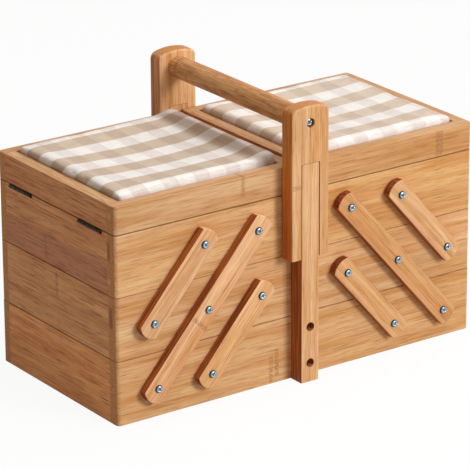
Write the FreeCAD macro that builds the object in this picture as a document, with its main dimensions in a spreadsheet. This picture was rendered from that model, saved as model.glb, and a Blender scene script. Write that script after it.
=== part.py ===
import FreeCAD, Part
import math
import os
import re
import Sketcher
from FreeCAD import Placement, Rotation, Vector

# Three-tier wooden cantilever sewing box with a fixed carrying handle.
# The base is one full-length tray. Above it the mid and top tiers are split
# into a left and a right half, and each top tray has its own padded lid.
# Parallel swing arms on the front and the rear carry the halves, so that they
# swing up and outwards and settle level again on the rims below.
# Frame: +X along the length, +Y to the rear, +Z up, origin at the bottom centre.

SIZES = {
    # Box and tiers
    "box_length": 340.0,
    "box_width": 164.0,
    "board_thickness": 10.3,
    "base_height": 52.0,
    "mid_height": 50.8,
    "top_height": 49.6,
    "lid_height": 22.4,
    "seam_gap": 0.3,
    "tier_side_clearance": 0.4,
    "centre_gap": 4.0,
    "corner_radius": 3.5,
    "seam_edge_radius": 0.4,
    "lid_edge_radius": 0.8,
    "panel_thickness": 4.0,
    "panel_lift": 3.0,
    "groove_depth": 4.0,
    # Swing arms
    "arm_pitch": 70.9,
    "arm_angle": 48.9,
    "arm_spacing": 49.6,
    "arm_width": 18.0,
    "arm_thickness": 7.0,
    "arm_end_overhang": 8.6,
    "arm_end_radius": 13.3,
    "arm_corner_radius": 1.5,
    "arm_edge_radius": 0.8,
    "arm_gap": 0.2,
    "base_pivot_height": 25.7,
    "base_pivot_inset": 32.5,
    # Arm screws
    "screw_head_diameter": 6.2,
    "screw_head_height": 1.9,
    "screw_head_rounding": 1.1,
    "screw_shank_diameter": 3.4,
    "screw_tip_length": 2.0,
    "screw_grip": 7.5,
    "head_gap": 0.1,
    "pivot_clearance": 0.05,
    "open_pivot_clearance": 0.15,
    "pilot_clearance": 0.03,
    # Handle
    "post_width": 16.8,
    "post_thickness": 14.0,
    "post_height": 179.5,
    "post_edge_radius": 1.0,
    "cheek_width": 35.5,
    "cheek_start_height": 103.0,
    "cheek_top_height": 226.0,
    "cheek_crown_radius": 51.0,
    "cheek_corner_radius": 6.0,
    "cheek_edge_radius": 2.0,
    "slot_clearance": 0.25,
    "rod_diameter": 18.0,
    "rod_drop": 14.0,
    "counterbore_diameter": 7.4,
    "rod_counterbore_depth": 4.0,
    "post_counterbore_depth": 9.0,
    "handle_screw_head_diameter": 6.8,
    "handle_screw_head_height": 2.4,
    "handle_screw_shank_diameter": 4.0,
    "rod_screw_grip": 20.0,
    "post_screw_grip": 8.0,
    "lower_post_screw_height": 15.6,
    "upper_post_screw_height": 45.8,
    # Lid hinges
    "hinge_length": 31.0,
    "hinge_offset": 48.7,
    "hinge_leaf_width": 8.5,
    "hinge_leaf_thickness": 1.0,
    "hinge_knuckle_radius": 1.4,
    "hinge_pin_radius": 0.7,
    "hinge_pin_outset": 0.3,
    "hinge_centre_knuckle": 12.0,
    "hinge_play": 0.15,
    # Cushions
    "cushion_clearance": 0.8,
    "cushion_lift": 0.3,
    "cushion_rise": 4.5,
    "cushion_corner_radius": 11.0,
    "cushion_side_draw": 1.6,
    "cushion_crown_reach": 24.0,
}

doc = FreeCAD.newDocument("sewing_box")
sheet = doc.addObject("Spreadsheet::Sheet", "Sizes")
for row, (alias, value) in enumerate(SIZES.items(), start=1):
    sheet.set("A%d" % row, alias)
    sheet.set("B%d" % row, str(value))
    sheet.setAlias("B%d" % row, alias)
doc.recompute()

nodes = []


def formula(text):
    """Turn size names in a formula into references to the sheet's cells."""
    return re.sub(r"[a-z_]+", lambda found: "Sizes." + found.group(0)
                  if found.group(0) in SIZES else found.group(0), str(text))


def size(alias):
    """Read one driving size from the sheet."""
    return float(sheet.get(alias))


def bind(item, **formulas):
    """Bind properties, with dots written as double underscores, to formulas."""
    for name, text in formulas.items():
        item.setExpression(name.replace("__", "."), formula(text))


# Places that several pieces share, as formulas of the sizes
WIDTH_FACE = "(box_width/2)"
TIER_FACE = "(box_width/2 - tier_side_clearance)"
END_FACE = "(box_length/2)"
MID_FLOOR = "(base_height + seam_gap)"
TOP_FLOOR = "(base_height + mid_height + 2*seam_gap)"
TOP_RIM = "(base_height + mid_height + top_height + 2*seam_gap)"
LID_FLOOR = "(base_height + mid_height + top_height + 3*seam_gap)"
ARM_FACE = "(box_width/2 + arm_gap + arm_thickness)"
HANDLE_FACE = "(box_width/2 + post_thickness)"
ROD_HEIGHT = "(cheek_top_height - rod_drop)"
SCREW_LENGTH = "(head_gap + arm_thickness + arm_gap + screw_grip)"
HINGE_X = "(-box_length/2 - hinge_pin_outset)"
HINGE_Z = "(base_height + mid_height + top_height + 2*seam_gap - hinge_knuckle_radius)"

# Arm pivots of the left half: each swing arm steps by the same run and rise
RUN = "(arm_pitch*cos(arm_angle))"
RISE = "(arm_pitch*sin(arm_angle))"
BASE_X = "(base_pivot_inset - box_length/2)"
BASE_PIVOTS = {
    "long": (BASE_X, "base_pivot_height"),
    "short": (BASE_X + " + arm_spacing", "base_pivot_height"),
}
MID_HEIGHT = "base_pivot_height + " + RISE
MID_PIVOTS = {
    "outer": (BASE_X + " + " + RUN + " - arm_spacing", MID_HEIGHT),
    "middle": (BASE_X + " + " + RUN, MID_HEIGHT),
    "inner": (BASE_X + " + " + RUN + " + arm_spacing", MID_HEIGHT),
}
TOP_HEIGHT = "base_pivot_height + 2*" + RISE
TOP_PIVOTS = {
    "outer": (BASE_X + " + 2*" + RUN + " - arm_spacing", TOP_HEIGHT),
    "inner": (BASE_X + " + 2*" + RUN, TOP_HEIGHT),
}


def new_body(label):
    """Start a solid piece."""
    body = doc.addObject("PartDesign::Body", label)
    body.Label = label
    return body


def block(body, name, length, width, height, corner, cut=False):
    """Add or cut a rectangular block, from its lowest corner."""
    kind = "PartDesign::SubtractiveBox" if cut else "PartDesign::AdditiveBox"
    feature = body.newObject(kind, name)
    bind(feature, Length=length, Width=width, Height=height, Placement__Base__x=corner[0],
         Placement__Base__y=corner[1], Placement__Base__z=corner[2])
    return feature


def round_bar(body, name, radius, length, start, cut=False):
    """Add or cut a cylinder that runs from its start towards +Y."""
    kind = "PartDesign::SubtractiveCylinder" if cut else "PartDesign::AdditiveCylinder"
    feature = body.newObject(kind, name)
    feature.Placement = Placement(Vector(), Rotation(Vector(1, 0, 0), -90))
    bind(feature, Radius=radius, Height=length, Placement__Base__x=start[0],
         Placement__Base__y=start[1], Placement__Base__z=start[2])
    return feature


def round_edges(body, name, radius, chosen):
    """Fillet the edges of the body's last feature that a test chooses."""
    doc.recompute()
    base = body.Tip
    edges = ["Edge%d" % number for number, edge in enumerate(base.Shape.Edges, start=1)
             if chosen(edge)]
    fillet = body.newObject("PartDesign::Fillet", name)
    fillet.Base = (base, edges)
    bind(fillet, Radius=radius)
    return fillet


def runs_along(edge, axis):
    """Tell whether an edge is a straight line along one axis."""
    if not isinstance(edge.Curve, Part.Line):
        return False
    return abs(abs(edge.Curve.Direction.dot(axis)) - 1) < 1e-6


def lies_at(edge, coordinate, value):
    """Tell whether all of an edge has one coordinate at a value."""
    box = edge.BoundBox
    low = getattr(box, coordinate + "Min")
    high = getattr(box, coordinate + "Max")
    return abs(low - value) < 1e-4 and abs(high - value) < 1e-4


def mirrored(label, source, normal):
    """Make the mirror image of a piece through a plane through the origin."""
    image = doc.addObject("Part::Mirroring", label)
    image.Label = label
    image.Source = source
    image.Normal = normal
    return image


def front_and_rear(label, front):
    """Join a front piece and its rear image into one group of separate solids."""
    rear = mirrored(label + "_rear_image", front, Vector(0, 1, 0))
    group = doc.addObject("Part::Compound", label)
    group.Label = label
    group.Links = [front, rear]
    return group


def keep(*pieces):
    """Mark pieces of the base as finished sub-parts."""
    nodes.extend(pieces)


def keep_left_and_right(*pieces):
    """Mark left-hand pieces as finished, and make their right-hand images."""
    for piece in pieces:
        nodes.append(piece)
        nodes.append(mirrored(piece.Label.replace("left_", "right_", 1), piece, Vector(1, 0, 0)))


# Boards and panels of a tray or a lid

def pilot_holes(board, name, face, places):
    """Drill a blind pilot hole for a screw into a front board at each place."""
    for number, (x, z) in enumerate(places, start=1):
        round_bar(board, name + str(number), "screw_shank_diameter/2 + pilot_clearance",
                  "screw_grip + 2*pilot_clearance + box_width/2 - " + face,
                  (x, "-" + WIDTH_FACE, z), cut=True)


def front_board(label, start, length, face, floor, height, upper_edge="seam_edge_radius"):
    """Long board with two rounded outer corners and a stopped groove for the panel.

    Its outer edges are eased all round, except where it meets the end boards.
    """
    board = new_body(label)
    block(board, "Plank", length, "board_thickness", height, (start, "-" + face, floor))
    doc.recompute()
    plank = board.Tip.Shape.BoundBox
    round_edges(board, "Corners", "corner_radius",
                lambda edge: runs_along(edge, Vector(0, 0, 1)) and lies_at(edge, "Y", plank.YMin))
    round_edges(board, "LowerEdges", "seam_edge_radius",
                lambda edge: lies_at(edge, "Z", plank.ZMin) and not lies_at(edge, "Y", plank.YMax))
    round_edges(board, "UpperEdges", upper_edge,
                lambda edge: lies_at(edge, "Z", plank.ZMax) and not lies_at(edge, "Y", plank.YMax))
    block(board, "Groove", length + " - 2*board_thickness + 2*groove_depth", "groove_depth",
          "panel_thickness", (start + " + board_thickness - groove_depth",
                              "-" + face + " + board_thickness - groove_depth",
                              floor + " + panel_lift"), cut=True)
    return board


def end_board(label, start, face, floor, height, groove_start, outer="XMin",
              upper_edge="seam_edge_radius"):
    """Short board between the long boards, with eased outer edges and a groove for the panel."""
    board = new_body(label)
    width = "2*(" + face + " - board_thickness)"
    front = "-" + face + " + board_thickness"
    block(board, "Plank", "board_thickness", width, height, (start, front, floor))
    doc.recompute()
    plank = board.Tip.Shape.BoundBox
    for name, radius, level in (("LowerEdge", "seam_edge_radius", plank.ZMin),
                                ("UpperEdge", upper_edge, plank.ZMax)):
        round_edges(board, name, radius,
                    lambda edge: lies_at(edge, "X", getattr(plank, outer)) and lies_at(edge, "Z", level))
    block(board, "Groove", "groove_depth", width, "panel_thickness",
          (groove_start, front, floor + " + panel_lift"), cut=True)
    return board


def bottom_panel(label, start, length, face, floor):
    """Thin panel let into the grooves of the four boards round it."""
    panel = new_body(label)
    block(panel, "Sheet", length + " - 2*board_thickness + 2*groove_depth",
          "2*(" + face + " - board_thickness + groove_depth)", "panel_thickness",
          (start + " + board_thickness - groove_depth",
           "-" + face + " + board_thickness - groove_depth", floor + " + panel_lift"))
    return panel


def half_tier(prefix, floor, height, bottom, places=(), upper_edge="seam_edge_radius"):
    """Four boards and a panel of one left-hand half tray or lid."""
    start = "-" + END_FACE
    length = "(" + END_FACE + " - centre_gap/2)"
    front = front_board(prefix + "_front_board", start, length, TIER_FACE, floor, height,
                        upper_edge)
    pilot_holes(front, "Pilot", TIER_FACE, places)
    rear = mirrored(prefix + "_rear_board", front, Vector(0, 1, 0))
    outer = end_board(prefix + "_outer_board", start, TIER_FACE, floor, height,
                      start + " + board_thickness - groove_depth", "XMin", upper_edge)
    inner_start = "(-centre_gap/2 - board_thickness)"
    inner = end_board(prefix + "_inner_board", inner_start, TIER_FACE, floor, height, inner_start,
                      "XMax", upper_edge)
    panel = bottom_panel(prefix + bottom, start, length, TIER_FACE, floor)
    return front, rear, outer, inner, panel


# Base tray

base_front = front_board("base_front_board", "-" + END_FACE, "box_length", WIDTH_FACE,
                         "0", "base_height")
pilot_holes(base_front, "Pilot", WIDTH_FACE, BASE_PIVOTS.values())
pilot_holes(base_front, "RightPilot", WIDTH_FACE,
            [("-(" + x + ")", z) for x, z in BASE_PIVOTS.values()])
for number, level in enumerate(("lower_post_screw_height", "upper_post_screw_height"), start=1):
    round_bar(base_front, "PostPilot" + str(number),
              "handle_screw_shank_diameter/2 + pilot_clearance",
              "post_screw_grip + 2*pilot_clearance", ("0", "-" + WIDTH_FACE, level), cut=True)
base_rear = mirrored("base_rear_board", base_front, Vector(0, 1, 0))
base_left = end_board("base_left_board", "-" + END_FACE, WIDTH_FACE, "0", "base_height",
                      "-" + END_FACE + " + board_thickness - groove_depth")
base_right = mirrored("base_right_board", base_left, Vector(1, 0, 0))
base_panel = bottom_panel("base_bottom_panel", "-" + END_FACE, "box_length", WIDTH_FACE, "0")
keep(base_front, base_rear, base_left, base_right, base_panel)

# Mid and top half trays

keep_left_and_right(*half_tier("left_mid", MID_FLOOR, "mid_height", "_bottom_panel",
                               MID_PIVOTS.values()))

top_boards = half_tier("left_top", TOP_FLOOR, "top_height", "_bottom_panel", TOP_PIVOTS.values())
for name, centre in (("FrontHingeRecess", "-hinge_offset"), ("RearHingeRecess", "hinge_offset")):
    block(top_boards[2], name, "hinge_leaf_width + hinge_play + corner_radius",
          "hinge_length + 2*hinge_play", "2*hinge_knuckle_radius + corner_radius",
          ("-" + END_FACE + " - corner_radius", centre + " - hinge_length/2 - hinge_play",
           TOP_RIM + " - 2*hinge_knuckle_radius"), cut=True)
keep_left_and_right(*top_boards)

# Lids

keep_left_and_right(*half_tier("left_lid", LID_FLOOR, "lid_height", "_panel",
                               upper_edge="lid_edge_radius"))


def cushion_outline(half_length, half_width, corner, draw, centre, level):
    """Closed outline with round corners and sides that pull in between them."""
    def place(x, y):
        return Vector(centre.x + x, centre.y + y, level)

    straight_x = half_length - corner
    straight_y = half_width - corner
    diagonal = corner * math.sqrt(0.5)
    edges = []
    for sign_x, sign_y in ((1, 1), (-1, 1), (-1, -1), (1, -1)):
        on_end = place(sign_x * half_length, sign_y * straight_y)
        on_side = place(sign_x * straight_x, sign_y * half_width)
        middle = place(sign_x * (straight_x + diagonal), sign_y * (straight_y + diagonal))
        first, last = (on_end, on_side) if sign_x == sign_y else (on_side, on_end)
        edges.append(Part.Arc(first, middle, last).toShape())
        if sign_x == sign_y:
            across = place(0, sign_y * (half_width - draw))
            edges.append(Part.Arc(last, across, place(-sign_x * straight_x,
                                                      sign_y * half_width)).toShape())
        else:
            across = place(sign_x * (half_length - draw), 0)
            edges.append(Part.Arc(last, across, place(sign_x * half_length,
                                                      -sign_y * straight_y)).toShape())
    return Part.Wire(edges)


def left_cushion():
    """Padded cushion: flat underneath, full at the sides and crowned on top."""
    panel_top = (size("base_height") + size("mid_height") + size("top_height")
                 + 3 * size("seam_gap") + size("panel_lift") + size("panel_thickness"))
    frame_top = (panel_top - size("panel_lift") - size("panel_thickness") + size("lid_height"))
    inner_end = -size("centre_gap") / 2 - size("board_thickness")
    outer_end = -size("box_length") / 2 + size("board_thickness")
    half_length = (inner_end - outer_end) / 2 - size("cushion_clearance")
    half_width = (size("box_width") / 2 - size("tier_side_clearance")
                  - size("board_thickness") - size("cushion_clearance"))
    centre = Vector((inner_end + outer_end) / 2, 0, 0)
    underside = panel_top + size("cushion_lift")
    rise = size("cushion_rise")
    corner = size("cushion_corner_radius")
    draw = size("cushion_side_draw")
    shoulder = frame_top - 0.3 * rise
    # Each level: height, inset from the full outline, share of the side's draw
    levels = [
        (underside, 0.22 * corner, 1.0),
        (underside + 0.12 * (shoulder - underside), 0.06 * corner, 1.0),
        (underside + 0.35 * (shoulder - underside), 0.0, 1.0),
    ]
    steps = 6
    for step in range(steps + 1):
        angle = 0.5 * math.pi * step / steps
        levels.append((shoulder + (frame_top + rise - shoulder) * math.sin(angle),
                       size("cushion_crown_reach") * (1 - math.cos(angle)), math.cos(angle)))
    wires = []
    for level, inset, share in levels:
        wires.append(cushion_outline(half_length - inset, half_width - inset, corner,
                                     share * draw + 0.01 * corner, centre, level))
    return Part.makeLoft(wires, True, True)


cushion = doc.addObject("Part::Feature", "left_lid_cushion")
cushion.Label = "left_lid_cushion"
cushion.Shape = left_cushion()
keep_left_and_right(cushion)

# Lid hinges


def knuckle(leaf, name, low, length):
    """Barrel of a hinge leaf round the pin."""
    round_bar(leaf, name, "hinge_knuckle_radius", length, (HINGE_X, low, HINGE_Z))


def pin_bore(leaf):
    """Bore for the pin right through a leaf's barrels."""
    round_bar(leaf, "PinBore", "hinge_pin_radius + pivot_clearance", "hinge_length",
              (HINGE_X, "-hinge_offset - hinge_length/2", HINGE_Z), cut=True)


def leaf_plate(leaf, underside):
    """Flat plate of a hinge leaf, from the pin's axis into the board."""
    block(leaf, "Plate", "hinge_leaf_width + hinge_pin_outset", "hinge_length",
          "hinge_leaf_thickness", (HINGE_X, "-hinge_offset - hinge_length/2", underside))


def notch(leaf, name, low, length):
    """Room in a leaf's plate for the other leaf's barrel."""
    block(leaf, name, "2*hinge_knuckle_radius + hinge_play", length, "4*hinge_knuckle_radius",
          (HINGE_X + " - hinge_knuckle_radius", low, HINGE_Z + " - 2*hinge_knuckle_radius"),
          cut=True)


HINGE_LOW = "(-hinge_offset - hinge_length/2)"
OUTER_KNUCKLE = "((hinge_length - hinge_centre_knuckle)/2 - hinge_play/2)"
CENTRE_LOW = "(-hinge_offset - hinge_centre_knuckle/2)"

tray_leaf = new_body("left_tray_leaf_front")
leaf_plate(tray_leaf, HINGE_Z + " - hinge_knuckle_radius")
notch(tray_leaf, "Notch", CENTRE_LOW + " - hinge_play/2", "hinge_centre_knuckle + hinge_play")
knuckle(tray_leaf, "NearKnuckle", HINGE_LOW, OUTER_KNUCKLE)
knuckle(tray_leaf, "FarKnuckle", HINGE_LOW + " + hinge_length - " + OUTER_KNUCKLE, OUTER_KNUCKLE)
pin_bore(tray_leaf)

lid_leaf = new_body("left_lid_leaf_front")
leaf_plate(lid_leaf, LID_FLOOR + " - hinge_leaf_thickness")
notch(lid_leaf, "NearNotch", HINGE_LOW, OUTER_KNUCKLE + " + hinge_play")
notch(lid_leaf, "FarNotch", CENTRE_LOW + " + hinge_centre_knuckle - hinge_play/2",
      OUTER_KNUCKLE + " + hinge_play")
knuckle(lid_leaf, "CentreKnuckle", CENTRE_LOW + " + hinge_play/2",
        "hinge_centre_knuckle - hinge_play")
pin_bore(lid_leaf)

hinge_pin = new_body("left_hinge_pin_front")
round_bar(hinge_pin, "Pin", "hinge_pin_radius", "hinge_length", (HINGE_X, HINGE_LOW, HINGE_Z))

keep_left_and_right(front_and_rear("left_tray_hinge_leaves", tray_leaf),
                    front_and_rear("left_lid_hinge_leaves", lid_leaf),
                    front_and_rear("left_hinge_pins", hinge_pin))

# Swing arms


def arm_sketch(arm, reach):
    """Outline of an arm: two straight sides and two shallow arcs at its ends."""
    sketch = arm.newObject("Sketcher::SketchObject", "Outline")
    plane = [part for part in arm.Origin.OriginFeatures if part.Role == "XZ_Plane"][0]
    sketch.AttachmentSupport = [(plane, "")]
    sketch.MapMode = "FlatFace"
    half = size("arm_width") / 2
    low = -size("arm_end_overhang")
    high = reach + size("arm_end_overhang")
    radius = size("arm_end_radius")
    centre = math.sqrt(radius ** 2 - half ** 2)
    spread = math.asin(half / radius)
    normal = Vector(0, 0, 1)
    right = Part.Circle(Vector(high - centre, 0, 0), normal, radius)
    left = Part.Circle(Vector(low + centre, 0, 0), normal, radius)
    upper_side = sketch.addGeometry(Part.LineSegment(Vector(low, half, 0), Vector(high, half, 0)))
    lower_side = sketch.addGeometry(Part.LineSegment(Vector(low, -half, 0), Vector(high, -half, 0)))
    right_end = sketch.addGeometry(Part.ArcOfCircle(right, -spread, spread))
    left_end = sketch.addGeometry(Part.ArcOfCircle(left, math.pi - spread, math.pi + spread))
    sketch.addConstraint([
        Sketcher.Constraint("Coincident", upper_side, 2, right_end, 2),
        Sketcher.Constraint("Coincident", lower_side, 2, right_end, 1),
        Sketcher.Constraint("Coincident", upper_side, 1, left_end, 1),
        Sketcher.Constraint("Coincident", lower_side, 1, left_end, 2),
        Sketcher.Constraint("Horizontal", upper_side),
        Sketcher.Constraint("Symmetric", upper_side, 1, lower_side, 1, -1),
        Sketcher.Constraint("Symmetric", upper_side, 2, lower_side, 2, -1),
        Sketcher.Constraint("DistanceY", lower_side, 1, upper_side, 1, 2 * half),
        Sketcher.Constraint("DistanceX", upper_side, 1, -1, 1, -low),
        Sketcher.Constraint("DistanceX", -1, 1, upper_side, 2, high),
        Sketcher.Constraint("Radius", right_end, radius),
        Sketcher.Constraint("Radius", left_end, radius),
    ])
    return sketch


def swing_arm(label, start, plays):
    """Flat arm with rounded ends and a hole at each pivot, one pitch apart."""
    steps = len(plays) - 1
    arm = new_body(label)
    sketch = arm_sketch(arm, steps * size("arm_pitch"))
    for number, text in ((7, "arm_width"), (8, "arm_end_overhang"),
                         (9, "%d*arm_pitch + arm_end_overhang" % steps),
                         (10, "arm_end_radius"), (11, "arm_end_radius")):
        sketch.setExpression("Constraints[%d]" % number, formula(text))
    pad = arm.newObject("PartDesign::Pad", "Plate")
    pad.Profile = sketch
    bind(pad, Length="arm_thickness")
    round_edges(arm, "Corners", "arm_corner_radius",
                lambda edge: runs_along(edge, Vector(0, 1, 0)))
    doc.recompute()
    faces = arm.Tip.Shape.BoundBox
    round_edges(arm, "Edges", "arm_edge_radius",
                lambda edge: lies_at(edge, "Y", faces.YMin) or lies_at(edge, "Y", faces.YMax))
    for step, play in enumerate(plays):
        round_bar(arm, "Hole%d" % step, "screw_shank_diameter/2 + " + play,
                  "arm_thickness", ("%d*arm_pitch" % step, "-arm_thickness", "0"), cut=True)
    arm.setExpression("Placement", formula(
        "placement(vector(%s; -(box_width/2 + arm_gap); %s); rotation(vector(0; -1; 0); arm_angle))"
        % start))
    return arm


# Clearance of each arm's holes from its outer end, wider where a linkage closes
RUNNING = "pivot_clearance"
CLOSING = "open_pivot_clearance"
arms = (
    ("left_long_arms", BASE_PIVOTS["long"], (RUNNING, RUNNING, RUNNING)),
    ("left_lower_arms", BASE_PIVOTS["short"], (RUNNING, CLOSING)),
    ("left_upper_arms", MID_PIVOTS["outer"], (RUNNING, CLOSING)),
)
for label, start, plays in arms:
    keep_left_and_right(front_and_rear(label, swing_arm(label + "_front", start, plays)))

# Handle: posts, forked cheeks and the rod

front_post = new_body("front_post")
block(front_post, "Blank", "post_width", "post_thickness", "post_height",
      ("-post_width/2", "-" + HANDLE_FACE, "0"))
doc.recompute()
post_face = front_post.Tip.Shape.BoundBox.YMin
round_edges(front_post, "Edges", "post_edge_radius",
            lambda edge: runs_along(edge, Vector(0, 0, 1)) and lies_at(edge, "Y", post_face))
for number, level in enumerate(("lower_post_screw_height", "upper_post_screw_height"), start=1):
    round_bar(front_post, "Counterbore" + str(number), "counterbore_diameter/2",
              "post_counterbore_depth", ("0", "-" + HANDLE_FACE, level), cut=True)
    round_bar(front_post, "ScrewHole" + str(number),
              "handle_screw_shank_diameter/2 + pivot_clearance", "post_thickness",
              ("0", "-" + HANDLE_FACE, level), cut=True)


def cheek_sketch(cheek):
    """Outline of a cheek: straight sides and a crowned top."""
    sketch = cheek.newObject("Sketcher::SketchObject", "Outline")
    plane = [part for part in cheek.Origin.OriginFeatures if part.Role == "XZ_Plane"][0]
    sketch.AttachmentSupport = [(plane, "")]
    sketch.MapMode = "FlatFace"
    half = size("cheek_width") / 2
    low = size("cheek_start_height")
    radius = size("cheek_crown_radius")
    drop = radius - math.sqrt(radius ** 2 - half ** 2)
    high = size("cheek_top_height") - drop
    spread = math.asin(half / radius)
    crown = Part.Circle(Vector(0, high + drop - radius, 0), Vector(0, 0, 1), radius)
    foot = sketch.addGeometry(Part.LineSegment(Vector(-half, low, 0), Vector(half, low, 0)))
    right = sketch.addGeometry(Part.LineSegment(Vector(half, low, 0), Vector(half, high, 0)))
    left = sketch.addGeometry(Part.LineSegment(Vector(-half, low, 0), Vector(-half, high, 0)))
    top = sketch.addGeometry(Part.ArcOfCircle(crown, math.pi / 2 - spread, math.pi / 2 + spread))
    sketch.addConstraint([
        Sketcher.Constraint("Coincident", foot, 2, right, 1),
        Sketcher.Constraint("Coincident", foot, 1, left, 1),
        Sketcher.Constraint("Coincident", right, 2, top, 1),
        Sketcher.Constraint("Coincident", left, 2, top, 2),
        Sketcher.Constraint("Symmetric", left, 1, right, 1, -2),
        Sketcher.Constraint("Symmetric", left, 2, right, 2, -2),
        Sketcher.Constraint("Vertical", left),
        Sketcher.Constraint("DistanceX", foot, 1, foot, 2, 2 * half),
        Sketcher.Constraint("DistanceY", -1, 1, foot, 1, low),
        Sketcher.Constraint("DistanceY", -1, 1, right, 2, high),
        Sketcher.Constraint("Radius", top, radius),
    ])
    crown_drop = "cheek_crown_radius - sqrt(cheek_crown_radius^2 - (cheek_width/2)^2)"
    for number, text in ((7, "cheek_width"), (8, "cheek_start_height"),
                         (9, "cheek_top_height - (" + crown_drop + ")"),
                         (10, "cheek_crown_radius")):
        sketch.setExpression("Constraints[%d]" % number, formula(text))
    bind(sketch, AttachmentOffset__Base__z=WIDTH_FACE)
    return sketch


front_cheek = new_body("front_cheek")
cheek_pad = front_cheek.newObject("PartDesign::Pad", "Blank")
cheek_pad.Profile = cheek_sketch(front_cheek)
bind(cheek_pad, Length="post_thickness")
doc.recompute()
cheek_box = front_cheek.Tip.Shape.BoundBox
cheek_middle = (cheek_box.ZMin + cheek_box.ZMax) / 2
round_edges(front_cheek, "TopCorners", "cheek_corner_radius",
            lambda edge: runs_along(edge, Vector(0, 1, 0)) and edge.BoundBox.ZMin > cheek_middle)
round_edges(front_cheek, "Edges", "cheek_edge_radius",
            lambda edge: (lies_at(edge, "Y", cheek_box.YMin) or lies_at(edge, "Y", cheek_box.YMax))
            and not lies_at(edge, "Z", cheek_box.ZMin))
block(front_cheek, "Slot", "post_width + 2*slot_clearance", "post_thickness",
      "post_height - cheek_start_height",
      ("-post_width/2 - slot_clearance", "-" + HANDLE_FACE, "cheek_start_height"), cut=True)
round_bar(front_cheek, "Counterbore", "counterbore_diameter/2", "rod_counterbore_depth",
          ("0", "-" + HANDLE_FACE, ROD_HEIGHT), cut=True)
round_bar(front_cheek, "ScrewHole", "handle_screw_shank_diameter/2 + pivot_clearance",
          "post_thickness", ("0", "-" + HANDLE_FACE, ROD_HEIGHT), cut=True)

handle_rod = new_body("handle_rod")
round_bar(handle_rod, "Rod", "rod_diameter/2", "box_width", ("0", "-" + WIDTH_FACE, ROD_HEIGHT))
for name, low in (("FrontPilot", "-" + WIDTH_FACE),
                  ("RearPilot", WIDTH_FACE + " - rod_screw_grip - 2*pilot_clearance")):
    round_bar(handle_rod, name, "handle_screw_shank_diameter/2 + pilot_clearance",
              "rod_screw_grip + 2*pilot_clearance", ("0", low, ROD_HEIGHT), cut=True)

keep(front_post, mirrored("rear_post", front_post, Vector(0, 1, 0)),
     front_cheek, mirrored("rear_cheek", front_cheek, Vector(0, 1, 0)), handle_rod)

# Screws: each is drawn with the underside of its head at the origin


def pan_screw(label, head_diameter, head_height, shank_diameter, length):
    """Pan-head wood screw that points towards +Y."""
    screw = new_body(label)
    round_bar(screw, "Head", head_diameter + "/2", head_height, ("0", "-" + head_height, "0"))
    doc.recompute()
    outer = screw.Tip.Shape.BoundBox.YMin
    round_edges(screw, "Crown", "screw_head_rounding",
                lambda edge: lies_at(edge, "Y", outer))
    round_bar(screw, "Shank", shank_diameter + "/2", length + " - screw_tip_length",
              ("0", "0", "0"))
    tip = screw.newObject("PartDesign::AdditiveCone", "Tip")
    tip.Placement = Placement(Vector(), Rotation(Vector(1, 0, 0), -90))
    bind(tip, Radius1=shank_diameter + "/2", Radius2=shank_diameter + "/10",
         Height="screw_tip_length", Placement__Base__y=length + " - screw_tip_length")
    return screw


def screw_set(label, screw, places):
    """Group of copies of one screw, and their rear images."""
    copies = []
    for number, (x, y, z) in enumerate(places, start=1):
        copy = doc.addObject("App::Link", label + "_copy")
        copy.LinkedObject = screw
        bind(copy, Placement__Base__x=x, Placement__Base__y=y, Placement__Base__z=z)
        copies.append(copy)
    front = doc.addObject("Part::Compound", label + "_front")
    front.Links = copies
    return front_and_rear(label, front)


arm_screw = pan_screw("arm_screw", "screw_head_diameter", "screw_head_height",
                      "screw_shank_diameter", SCREW_LENGTH)
HEAD_SEAT = "-(" + ARM_FACE + " + head_gap)"
left_base_places = [(x, HEAD_SEAT, z) for x, z in BASE_PIVOTS.values()]
right_base_places = [("-(" + x + ")", HEAD_SEAT, z) for x, z in BASE_PIVOTS.values()]
keep(screw_set("base_arm_screws", arm_screw, left_base_places + right_base_places))
keep_left_and_right(
    screw_set("left_mid_arm_screws", arm_screw, [(x, HEAD_SEAT, z) for x, z in MID_PIVOTS.values()]),
    screw_set("left_top_arm_screws", arm_screw, [(x, HEAD_SEAT, z) for x, z in TOP_PIVOTS.values()]))

ROD_SCREW_SEAT = "-(" + HANDLE_FACE + " - rod_counterbore_depth)"
POST_SCREW_SEAT = "-(" + HANDLE_FACE + " - post_counterbore_depth)"
rod_screw = pan_screw("rod_screw", "handle_screw_head_diameter", "handle_screw_head_height",
                      "handle_screw_shank_diameter",
                      "(post_thickness - rod_counterbore_depth + rod_screw_grip)")
post_screw = pan_screw("post_screw", "handle_screw_head_diameter", "handle_screw_head_height",
                       "handle_screw_shank_diameter",
                       "(post_thickness - post_counterbore_depth + post_screw_grip)")
rod_screws = screw_set("rod_screws", rod_screw, [("0", ROD_SCREW_SEAT, ROD_HEIGHT)])
post_screws = screw_set("post_screws", post_screw,
                        [("0", POST_SCREW_SEAT, "lower_post_screw_height"),
                         ("0", POST_SCREW_SEAT, "upper_post_screw_height")])
handle_screws = doc.addObject("Part::Compound", "handle_screws")
handle_screws.Label = "handle_screws"
handle_screws.Links = [rod_screws, post_screws]
keep(handle_screws)

# Check every object, then write the sub-parts

doc.recompute()
for item in doc.Objects:
    if "Invalid" in item.State or "Error" in item.State:
        raise RuntimeError("%s failed: %s" % (item.Label, item.State))

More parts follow.
